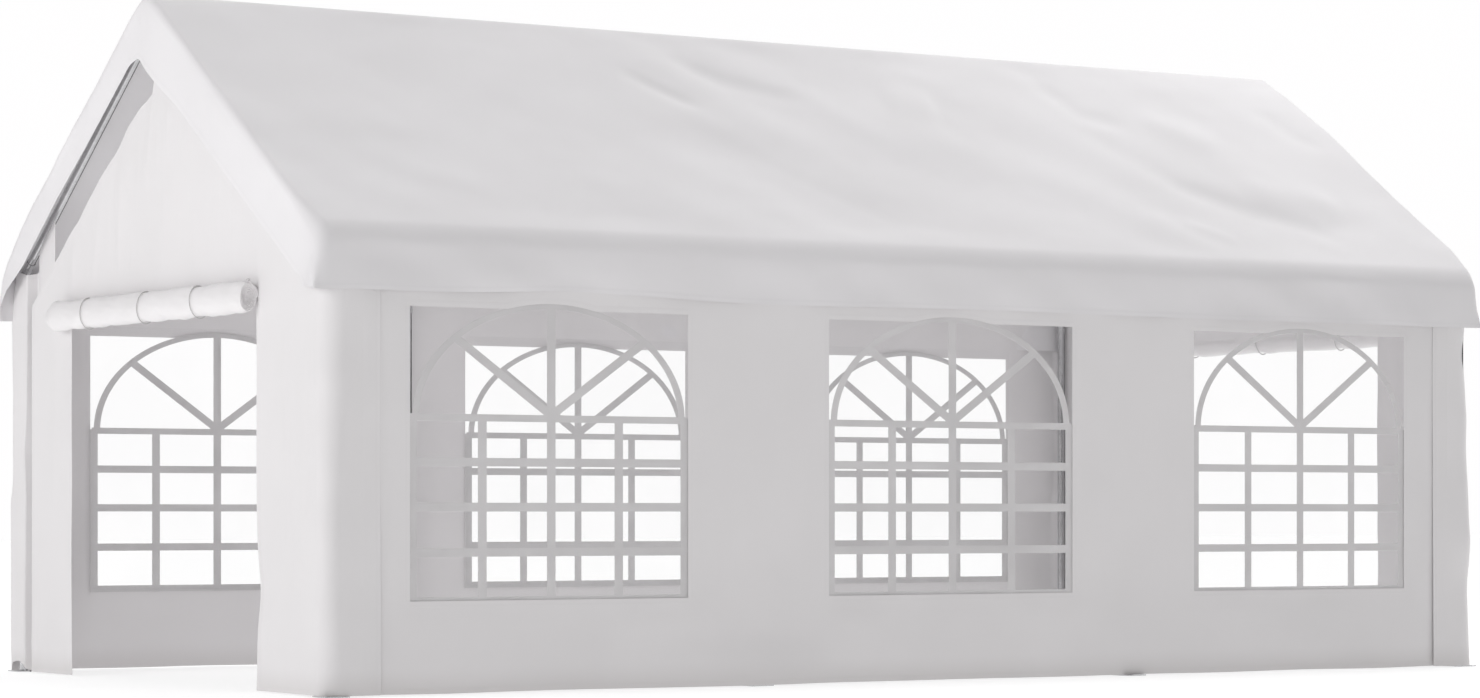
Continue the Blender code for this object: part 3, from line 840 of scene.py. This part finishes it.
def build_roll(end, label):
    """The door's sheet, rolled up from its foot, pinched by its ties and folded in at one end."""
    middle_y = roll_middle(label)
    turns, cap, soft, spacing = 6.5, 0.062, 0.014, 0.0035
    marks = [ROLL_RIGHT - 0.008, ROLL_RIGHT, ROLL_RIGHT + 0.008]
    cloth_places = spread(ROLL_LEFT, ROLL_RIGHT + cap, 0.018, marks)
    t_places = np.linspace(0.0, 1.0, int(turns * 44) + 1)
    t, w = np.meshgrid(t_places, cloth_places, indexing="ij")
    angle = t * turns * math.tau
    over = w - ROLL_RIGHT
    folded_in = (over + np.sqrt(over ** 2 + soft ** 2)) / 2
    x = w - folded_in - spacing * turns * (1 - t) * smooth((w - ROLL_LEFT) / 0.5)
    pinch = np.clip(sum(np.exp(-((x - tie) / 0.035) ** 2) for tie in TIE_PLACES), 0, 1)
    seed = 100 if end < 0 else 120
    crumple = 0.085 * gathers(x, angle, seed) * (1 - 0.8 * pinch) * (0.35 + 0.65 * t)
    loose = 0.035 * ripple(x, t * 24.0, seed + 2, 0.11, 2.0) * smooth((t - 0.86) / 0.06) * (1 - pinch)
    tapered = 1.0 - 0.34 * (1 - smooth((w - ROLL_LEFT) / 0.07))
    radius = (0.10 + 0.86 * t) * (1.0 - 0.09 * pinch) * (1 + crumple + loose) * tapered
    radius = np.minimum(radius, 1.0) * (1 - np.clip(folded_in / 0.070, 0, 0.92))
    x = x - 0.036 * smooth(over / cap * 1.3) * t
    y = -ROLL_HALF_DEEP * radius * np.cos(angle)
    z = ROLL_MIDDLE_Z + ROLL_HALF_HIGH * radius * np.sin(angle)
    if end > 0:
        x, y = -x, -y
    points = np.stack([x, middle_y + y, z], -1)
    long = float(np.median(np.linalg.norm(np.diff(points, axis=0), axis=-1).sum(0)))
    from_side = np.minimum(w - cloth_places[0], cloth_places[-1] - w)
    v = t * long
    edge = np.minimum(from_side, np.minimum(v, long - v))
    run = np.where(edge == from_side, v, w)
    piece = cloth(f"{label}_rolled_door", points, np.stack([w, v], -1), edge, run)
    settle(piece, WALL_SHEET, "wall_sheet", f"{label}_door_roll")


def open_mesh():
    """Applies the active piece's transform and opens its whole mesh for editing."""
    bpy.ops.object.transform_apply(location=True, rotation=True, scale=True)
    bpy.ops.object.mode_set(mode="EDIT")
    bpy.ops.mesh.select_all(action="SELECT")


def flat_bar(centre, size, turn=0.0):
    """One flat strip with softened edges. centre is (y, z) on the film, size is (along y, along z)."""
    bpy.ops.mesh.primitive_cube_add(size=1.0, location=(FILM_X + BAR_THICK / 2, *centre))
    bar = bpy.context.object
    bar.scale = (BAR_THICK, size[0], size[1])
    bar.rotation_euler = (turn, 0.0, 0.0)
    open_mesh()
    bpy.ops.mesh.bevel(offset=0.0006, segments=2)
    bpy.ops.object.mode_set(mode="OBJECT")
    return bar


def arch_bar(half_wide, rise, width):
    """The arch over a window's panes: a flat strip carried half round and flattened to its rise."""
    inner = half_wide - width
    section = ((0.0, inner), (BAR_THICK, inner), (BAR_THICK, half_wide), (0.0, half_wide))
    points = []
    for step in range(ARCH_STEPS + 1):
        angle = math.pi * step / ARCH_STEPS
        for out, radius in section:
            up = radius * math.sin(angle) * rise / half_wide
            points.append((FILM_X + out, radius * math.cos(angle), ARCH_SPRING + up))
    last = 4 * ARCH_STEPS
    faces = [(3, 2, 1, 0), (last, last + 1, last + 2, last + 3)]
    for near in range(0, last, 4):
        for k in range(4):
            beside = (k + 1) % 4
            faces.append((near + k, near + beside, near + beside + 4, near + k + 4))
    mesh = bpy.data.meshes.new("arch")
    mesh.from_pydata(points, [], faces)
    return add_object("arch", mesh)


def fuse(pieces, name):
    """Unites overlapping pieces into one clean solid."""
    made = pieces[0]
    for other in pieces[1:]:
        union = made.modifiers.new("fuse", "BOOLEAN")
        union.operation = "UNION"
        union.solver = "EXACT"
        union.object = other
        bpy.context.view_layer.objects.active = made
        bpy.ops.object.modifier_apply(modifier=union.name)
        bpy.data.objects.remove(other)
    made.name = made.data.name = name
    return made


def build_bars():
    """The white bars of one window, round the film's middle."""
    parts = [arch_bar(0.632, ARCH_RISE + 0.003, 0.032)]
    low = WINDOW_BOTTOM - 0.016
    crown = ARCH_SPRING + ARCH_RISE - 0.006
    spring = ARCH_SPRING + 0.004
    for k in (-2 * 0.998, 2 * 0.998, -1, 1):
        parts.append(flat_bar((k * PANE, (low + spring) / 2), (0.040, spring - low)))
    parts.append(flat_bar((0.0, (low + crown) / 2), (0.040, crown - low)))
    rails = (1.102, 0.029), (0.925, 0.034), (0.746, 0.034), (0.564, 0.034), (low + 0.016, 0.030)
    for height, width in rails:
        parts.append(flat_bar((0.0, height), (2 * WINDOW_HALF - 0.004, width)))
    for k in (-1, 1):
        start, end = (0.0, ARCH_SPRING + 0.010), (k * 0.448, ARCH_SPRING + 0.322)
        long = math.dist(start, end)
        middle = ((start[0] + end[0]) / 2, (start[1] + end[1]) / 2)
        parts.append(flat_bar(middle, (long, 0.036), math.atan2(end[1] - start[1], end[0] - start[0])))
    return fuse(parts, "window_bars")


def copied(piece, name, scale_x, scale_y, move_y):
    """A copy of a piece with its own mesh, carried to its place."""
    made = add_object(name, piece.data.copy())
    made.data.name = name
    scale = Matrix.Diagonal((scale_x, scale_y, 1.0, 1.0))
    made.data.transform(Matrix.Translation((0.0, move_y, 0.0)) @ scale)
    if scale_x * scale_y < 0:
        made.data.flip_normals()
    made.data.update()
    return made


def build_windows():
    """Bars on all six films, modelled once."""
    first = build_bars()
    for side, label, windows in ((1, "right", RIGHT_WINDOWS), (-1, "left", LEFT_WINDOWS)):
        for number, (low, high) in enumerate(windows, 1):
            across = (high - low) / 2 / WINDOW_HALF
            made = copied(first, f"{label}_window_bars_{number}", side, across, (low + high) / 2)
            settle(made, BARS, "wall_sheet")
    bpy.data.objects.remove(first)


def build_ties(end, label):
    """Cord loops round a rolled door, and the knob of the pull cord at the roll's near end."""
    middle_y = roll_middle(label)
    facing = -end
    loop_deep, loop_high = ROLL_HALF_DEEP * 0.91 + 0.001, ROLL_HALF_HIGH * 0.91 + 0.001
    parts = []
    for number, place in enumerate(TIE_PLACES):
        bpy.ops.mesh.primitive_torus_add(
            location=(place * facing, middle_y, ROLL_MIDDLE_Z), rotation=(0.0, math.pi / 2, 0.0),
            major_radius=loop_deep, minor_radius=0.0021, major_segments=48, minor_segments=8)
        loop = bpy.context.object
        loop.scale = (loop_high / loop_deep, 1.0, 1.0)
        open_mesh()
        bpy.ops.transform.rotate(value=math.radians((3, -4, 7)[number]) * facing, orient_axis="Y",
                                 center_override=(place * facing, middle_y, ROLL_MIDDLE_Z))
        bpy.ops.object.mode_set(mode="OBJECT")
        parts.append(loop)
    knob_x = (ROLL_RIGHT - 0.012) * facing
    bpy.ops.mesh.primitive_uv_sphere_add(radius=0.008, segments=20, ring_count=12,
                                         location=(knob_x, middle_y, ROLL_MIDDLE_Z + ROLL_HALF_HIGH - 0.004))
    knob = bpy.context.object
    knob.scale = (1.0, 1.0, 0.75)
    bpy.ops.object.transform_apply(location=True, rotation=True, scale=True)
    parts.append(knob)
    bpy.ops.object.select_all(action="DESELECT")
    for part in parts:
        part.select_set(True)
    bpy.context.view_layer.objects.active = parts[0]
    bpy.ops.object.join()
    bpy.ops.object.select_all(action="DESELECT")
    parts[0].name = parts[0].data.name = f"{label}_roll_ties"
    settle(parts[0], TIE, "wall_sheet")


# The camera stands where the photograph was taken from, in a pale studio

CAMERA_PLACE = (15.08, -10.16, 0.72)
CAMERA_TURN = math.radians(58.24)
CAMERA_LENS = 95.28
CAMERA_SHIFT = (0.0930, 0.1111)
FLOOR_GLOW = 0.62
ROOM_LIGHT = 0.04
# Broad lights of the room: direction, strength, and the cosines where each begins and is full
LIGHT_FIELDS = (
    ((-0.35, -0.80, 0.50), 0.38, -0.10, 1.0),
    ((-0.35, 0.60, 0.72), 1.42, 0.30, 1.0),
)
# Where shiny surfaces see it dim: direction, and the cosines where that begins and is full
DARK_FIELDS = (
    ((15.08, -10.16, 0.9), 0.72, 0.90),
    ((0.55, 0.83, 0.0), 0.93, 0.98),
)
# Name, place, what it looks at, size and power
SOFT_BOXES = (
    ("overhead_box", (0.5, 4.2, 7.5), (0.4, 2.4, 2.5), (3.0, 3.0), 118.0),
    ("front_box", (1.0, -9.5, 3.0), (0.0, -3.0, 1.5), (3.0, 3.0), 170.0),
    ("right_box", (9.0, -2.0, 3.5), (1.5, 0.0, 1.0), (3.0, 3.0), 76.0),
    ("inside_fill", (0.0, -1.5, 0.30), (0.0, -1.5, 2.0), (1.0, 2.5), 0.8),
)


def build_camera():
    """The photograph's camera."""
    data = bpy.data.cameras.new("camera")
    data.sensor_width = 36.0
    data.lens = CAMERA_LENS
    data.shift_x, data.shift_y = CAMERA_SHIFT
    data.clip_end = 500.0
    camera = add_object("camera", data)
    camera.location = CAMERA_PLACE
    camera.rotation_euler = (math.pi / 2, 0.0, CAMERA_TURN)
    bpy.context.scene.camera = camera


def toward(tree, way, direction):
    """The cosine between a way and a direction."""
    inputs = {0: way, 1: Vector(direction).normalized()}
    return add_node(tree, "ShaderNodeVectorMath", inputs, operation="DOT_PRODUCT")["Value"]


def build_studio():
    """A pale floor, a white room with two broad lights, and soft boxes."""
    bpy.ops.mesh.primitive_plane_add(size=160.0, location=(0.0, 0.0, 0.0))
    floor = bpy.context.object
    floor.name = "floor"
    material, tree, surface, _ = new_material("pale_floor")
    put(tree, surface, {
        "Base Color": (0.50, 0.50, 0.50, 1.0), "Roughness": 0.9, "Specular IOR Level": 0.0,
        "Emission Color": (1.0, 1.0, 1.0, 1.0), "Emission Strength": FLOOR_GLOW})
    floor.data.materials.append(material)
    world = bpy.data.worlds.new("studio")
    bpy.context.scene.world = world
    world.use_nodes = True
    tree = world.node_tree
    tree.nodes.clear()
    way = add_node(tree, "ShaderNodeTexCoord")["Generated"]
    light = ROOM_LIGHT
    for direction, strength, low, high in LIGHT_FIELDS:
        light = sums(tree, "ADD", light, ramp(tree, toward(tree, way, direction), low, high, 0.0, strength))
    path = add_node(tree, "ShaderNodeLightPath")
    dim = 0.0
    for direction, low, high in DARK_FIELDS:
        dim = sums(tree, "MAXIMUM", dim, ramp(tree, toward(tree, way, direction), low, high))
    dim = sums(tree, "MULTIPLY", dim, path["Is Glossy Ray"])
    light = sums(tree, "MULTIPLY", light, sums(tree, "SUBTRACT", 1.0, sums(tree, "MULTIPLY", dim, 0.97)))
    keep = sums(tree, "SUBTRACT", 1.0, path["Is Camera Ray"])
    light = sums(tree, "ADD", sums(tree, "MULTIPLY", light, keep), path["Is Camera Ray"])
    back = add_node(tree, "ShaderNodeBackground", {"Color": (1.0, 0.995, 0.998, 1.0), "Strength": light})
    put(tree, tree.nodes.new("ShaderNodeOutputWorld"), {0: back[0]})
    for name, place, target, size, power in SOFT_BOXES:
        light = bpy.data.lights.new(name, "AREA")
        light.shape = "RECTANGLE"
        light.size, light.size_y = size
        light.energy = power
        lamp = add_object(name, light)
        lamp.location = place
        lamp.rotation_mode = "QUATERNION"
        lamp.rotation_quaternion = (Vector(target) - Vector(place)).to_track_quat("-Z", "Y")
        lamp.visible_camera = False
        lamp.visible_glossy = False
    bpy.context.scene.view_settings.view_transform = "Standard"
    bpy.context.scene.view_settings.look = "None"


build_camera()
build_studio()
build_cover()
for side, label in ((1, "right"), (-1, "left")):
    build_side_wall(side, label)
for end, label in ((-1, "front"), (1, "rear")):
    build_gable(end, label)
    build_roll(end, label)
    build_ties(end, label)
build_windows()

KINDS = {"film": FILM, "post": POST_TUBE, "rafter": RAFTER_TUBE, "purlin": TUBE, "connector": JOINT}
for name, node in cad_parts.items():
    for word, kind in KINDS.items():
        if word in name:
            for slot in node.material_slots:
                slot.material = kind

bpy.context.view_layer.update()
